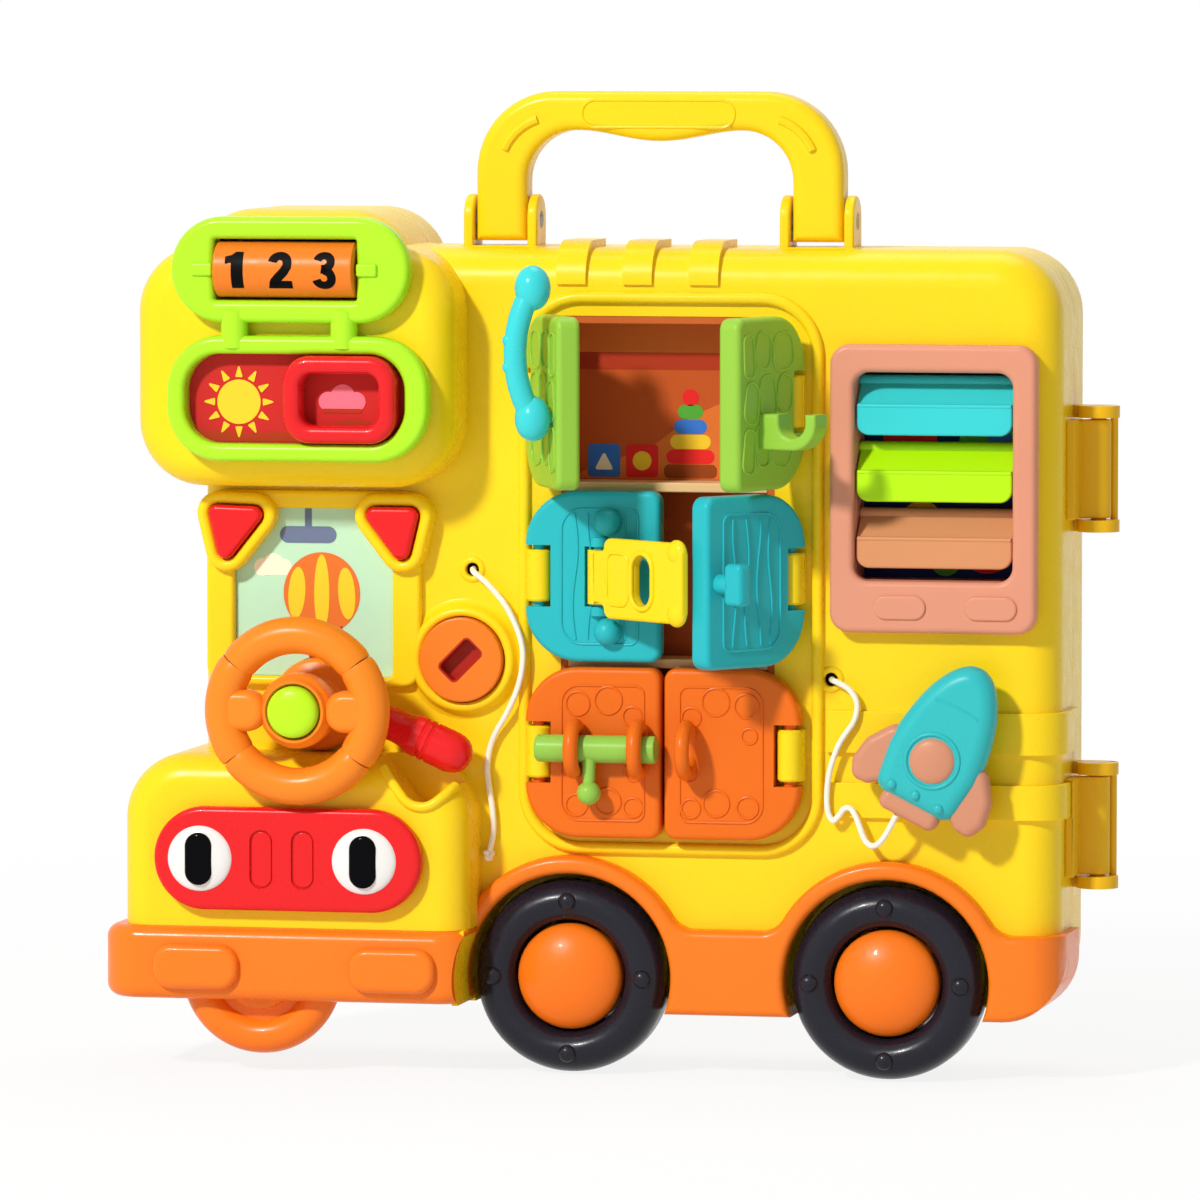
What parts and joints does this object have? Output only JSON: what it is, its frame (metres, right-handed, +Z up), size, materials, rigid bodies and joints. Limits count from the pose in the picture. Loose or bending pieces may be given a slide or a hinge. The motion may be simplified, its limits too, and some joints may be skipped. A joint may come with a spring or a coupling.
{
  "type": "busy board",
  "caption": "Bus-shaped yellow toy suitcase with a busy-board front: latched cupboard doors, shutter slats, steering wheel, key, number roller, pull-off rocket and carry handle.",
  "frame": {"origin": "middle of the bounding box, on the ground under the wheels and the rear feet", "axes": "+X to the right along the front, +Y from the front to the back, +Z up"},
  "size_m": [0.335, 0.1089, 0.3275],
  "materials": {
    "yellow_plastic": "smooth moulded plastic",
    "orange_plastic": "smooth moulded plastic",
    "teal_plastic": "smooth moulded plastic",
    "green_plastic": "smooth moulded plastic",
    "lime_plastic": "smooth moulded plastic",
    "red_plastic": "smooth moulded plastic",
    "pink_plastic": "smooth moulded plastic",
    "navy_plastic": "soft sheen",
    "white_plastic": "smooth moulded plastic",
    "black_plastic": "smooth moulded plastic",
    "blue_plastic": "smooth moulded plastic",
    "tan_plastic": "smooth moulded plastic",
    "printed_card": "printed paper stuck on",
    "steel": "plain",
    "cord": "twisted cotton"
  },
  "bodies": {
    "case": {"front_shell": "yellow_plastic", "cab_housing": "yellow_plastic", "hood_housing": "yellow_plastic", "skirt": "orange_plastic", "inner_cover": "yellow_plastic", "cover_screws": "steel", "cupboard_tray": "yellow_plastic", "cupboard_cards": "printed_card", "door_hinge_clips": "yellow_plastic", "shutter_frame": "pink_plastic", "shutter_card": "printed_card", "windscreen_card": "printed_card", "sign_frame": "lime_plastic", "slider_card": "printed_card", "roller_axle": "steel", "headlight_plate": "red_plastic", "eye_whites": "white_plastic", "eye_pupils": "black_plastic", "bumper_wheel": "orange_plastic", "wheel_axles": "steel", "case_hinge_leaves": "yellow_plastic", "handle_brackets": "yellow_plastic", "handle_pins": "steel", "steering_column": "orange_plastic", "cord_left": "cord", "cord_left_knot": "cord", "cord_right": "cord"},
    "back_half": {"back_shell": "yellow_plastic", "rear_feet": "navy_plastic", "back_hinge_knuckles": "yellow_plastic"},
    "carry_handle": {"carry_handle": "yellow_plastic"},
    "number_roller": {"number_roller": "orange_plastic"},
    "slider": {"slider_frame": "red_plastic"},
    "button_left": {"button_left": "red_plastic"},
    "button_right": {"button_right": "red_plastic"},
    "steering_wheel": {"steering_wheel": "orange_plastic"},
    "horn_button": {"horn_button": "lime_plastic"},
    "signal_lever": {"signal_lever": "red_plastic"},
    "key_disc": {"key_disc": "orange_plastic", "key_slot_liner": "red_plastic"},
    "green_door_left": {"green_door_left": "green_plastic"},
    "swing_bar": {"swing_bar": "teal_plastic"},
    "green_door_right": {"green_door_right": "green_plastic"},
    "teal_door_left": {"teal_door_left": "teal_plastic"},
    "hasp": {"hasp": "yellow_plastic"},
    "teal_door_right": {"teal_door_right": "teal_plastic"},
    "turn_knob": {"turn_knob": "teal_plastic"},
    "orange_door_left": {"orange_door_left": "orange_plastic"},
    "bolt": {"bolt": "green_plastic"},
    "orange_door_right": {"orange_door_right": "orange_plastic"},
    "slat_blue": {"slat_blue": "blue_plastic"},
    "slat_green": {"slat_green": "lime_plastic"},
    "slat_tan": {"slat_tan": "tan_plastic"},
    "wheel_left": {"wheel_left_tyre": "navy_plastic", "wheel_left_hub": "orange_plastic"},
    "wheel_right": {"wheel_right_tyre": "navy_plastic", "wheel_right_hub": "orange_plastic"},
    "rocket": {"rocket_body": "teal_plastic", "rocket_trim": "tan_plastic"}
  },
  "joints": [
    {"name": "back_half_hinge", "type": "hinge", "parent": "case", "child": "back_half", "pos_m": [0.1605, 0.0244, 0.15], "axis": [0, 0, -1], "range_deg": [0, 120]},
    {"name": "handle_fold", "type": "hinge", "parent": "case", "child": "carry_handle", "pos_m": [0.0142, 0.0144, 0.2845], "axis": [1, 0, 0], "range_deg": [-90, 90]},
    {"name": "roller_turn", "type": "hinge", "parent": "case", "child": "number_roller", "pos_m": [-0.1021, -0.0361, 0.26875], "axis": [1, 0, 0], "continuous": true},
    {"name": "slider_slide", "type": "slide", "parent": "case", "child": "slider", "axis": [1, 0, 0], "range_m": [-0.0315, 0]},
    {"name": "button_left_push", "type": "slide", "parent": "case", "child": "button_left", "axis": [0, 1, 0], "range_m": [0, 0.0025], "stiffness_N_per_m": 300, "springref_m": -0.001},
    {"name": "button_right_push", "type": "slide", "parent": "case", "child": "button_right", "axis": [0, 1, 0], "range_m": [0, 0.0025], "stiffness_N_per_m": 300, "springref_m": -0.001},
    {"name": "steering_turn", "type": "hinge", "parent": "case", "child": "steering_wheel", "pos_m": [-0.098, -0.0416, 0.1224], "axis": [0, 1, 0], "continuous": true},
    {"name": "horn_push", "type": "slide", "parent": "steering_wheel", "child": "horn_button", "axis": [0, 1, 0], "range_m": [0, 0.0025], "stiffness_N_per_m": 300, "springref_m": -0.001},
    {"name": "lever_swing", "type": "hinge", "parent": "case", "child": "signal_lever", "pos_m": [-0.0717, -0.0216, 0.1175], "axis": [0, 1, 0], "range_deg": [0, 30]},
    {"name": "key_turn", "type": "hinge", "parent": "case", "child": "key_disc", "pos_m": [-0.0488, -0.0106, 0.138], "axis": [0, 1, 0], "range_deg": [-45, 45]},
    {"name": "green_left_hinge", "type": "hinge", "parent": "case", "child": "green_door_left", "pos_m": [-0.022, -0.0131, 0.2256], "axis": [0, 0, -1], "range_deg": [-64, 36]},
    {"name": "swing_bar_turn", "type": "hinge", "parent": "green_door_left", "child": "swing_bar", "pos_m": [-0.00709, -0.04366, 0.2206], "axis": [0.8988, 0.4384, 0], "range_deg": [0, 90]},
    {"name": "green_right_hinge", "type": "hinge", "parent": "case", "child": "green_door_right", "pos_m": [0.0632, -0.0131, 0.2256], "axis": [0, 0, 1], "range_deg": [-72, 28]},
    {"name": "teal_left_hinge", "type": "hinge", "parent": "case", "child": "teal_door_left", "pos_m": [-0.022, -0.0131, 0.1668], "axis": [0, 0, -1], "range_deg": [0, 100]},
    {"name": "hasp_hinge", "type": "hinge", "parent": "teal_door_left", "child": "hasp", "pos_m": [-0.0005, -0.0171, 0.1668], "axis": [0, 0, -1], "range_deg": [0, 45]},
    {"name": "teal_right_hinge", "type": "hinge", "parent": "case", "child": "teal_door_right", "pos_m": [0.0632, -0.0131, 0.1668], "axis": [0, 0, 1], "range_deg": [-55, 45]},
    {"name": "turn_knob_turn", "type": "hinge", "parent": "teal_door_right", "child": "turn_knob", "pos_m": [0.04255, -0.04259, 0.1668], "axis": [0.8192, -0.5736, 0], "range_deg": [0, 90]},
    {"name": "orange_left_hinge", "type": "hinge", "parent": "case", "child": "orange_door_left", "pos_m": [-0.022, -0.0131, 0.108], "axis": [0, 0, -1], "range_deg": [0, 85]},
    {"name": "bolt_slide", "type": "slide", "parent": "orange_door_left", "child": "bolt", "axis": [1, 0, 0], "range_m": [0, 0.011]},
    {"name": "orange_right_hinge", "type": "hinge", "parent": "case", "child": "orange_door_right", "pos_m": [0.0632, -0.0131, 0.108], "axis": [0, 0, 1], "range_deg": [0, 100]},
    {"name": "slat_blue_tilt", "type": "hinge", "parent": "case", "child": "slat_blue", "pos_m": [0.1111, -0.0011, 0.232], "axis": [1, 0, 0], "range_deg": [-30, 22]},
    {"name": "slat_green_tilt", "type": "hinge", "parent": "case", "child": "slat_green", "pos_m": [0.1111, -0.0011, 0.21], "axis": [1, 0, 0], "range_deg": [-30, 22]},
    {"name": "slat_tan_tilt", "type": "hinge", "parent": "case", "child": "slat_tan", "pos_m": [0.1111, -0.0011, 0.188], "axis": [1, 0, 0], "range_deg": [-30, 22]},
    {"name": "wheel_left_spin", "type": "hinge", "parent": "case", "child": "wheel_left", "pos_m": [-0.012, -0.0046, 0.0325], "axis": [0, 1, 0], "continuous": true},
    {"name": "wheel_right_spin", "type": "hinge", "parent": "case", "child": "wheel_right", "pos_m": [0.0955, -0.0046, 0.0325], "axis": [0, 1, 0], "continuous": true},
    {"name": "rocket_pull", "type": "slide", "parent": "case", "child": "rocket", "axis": [0, -1, 0], "range_m": [0, 0.03]}
  ]
}
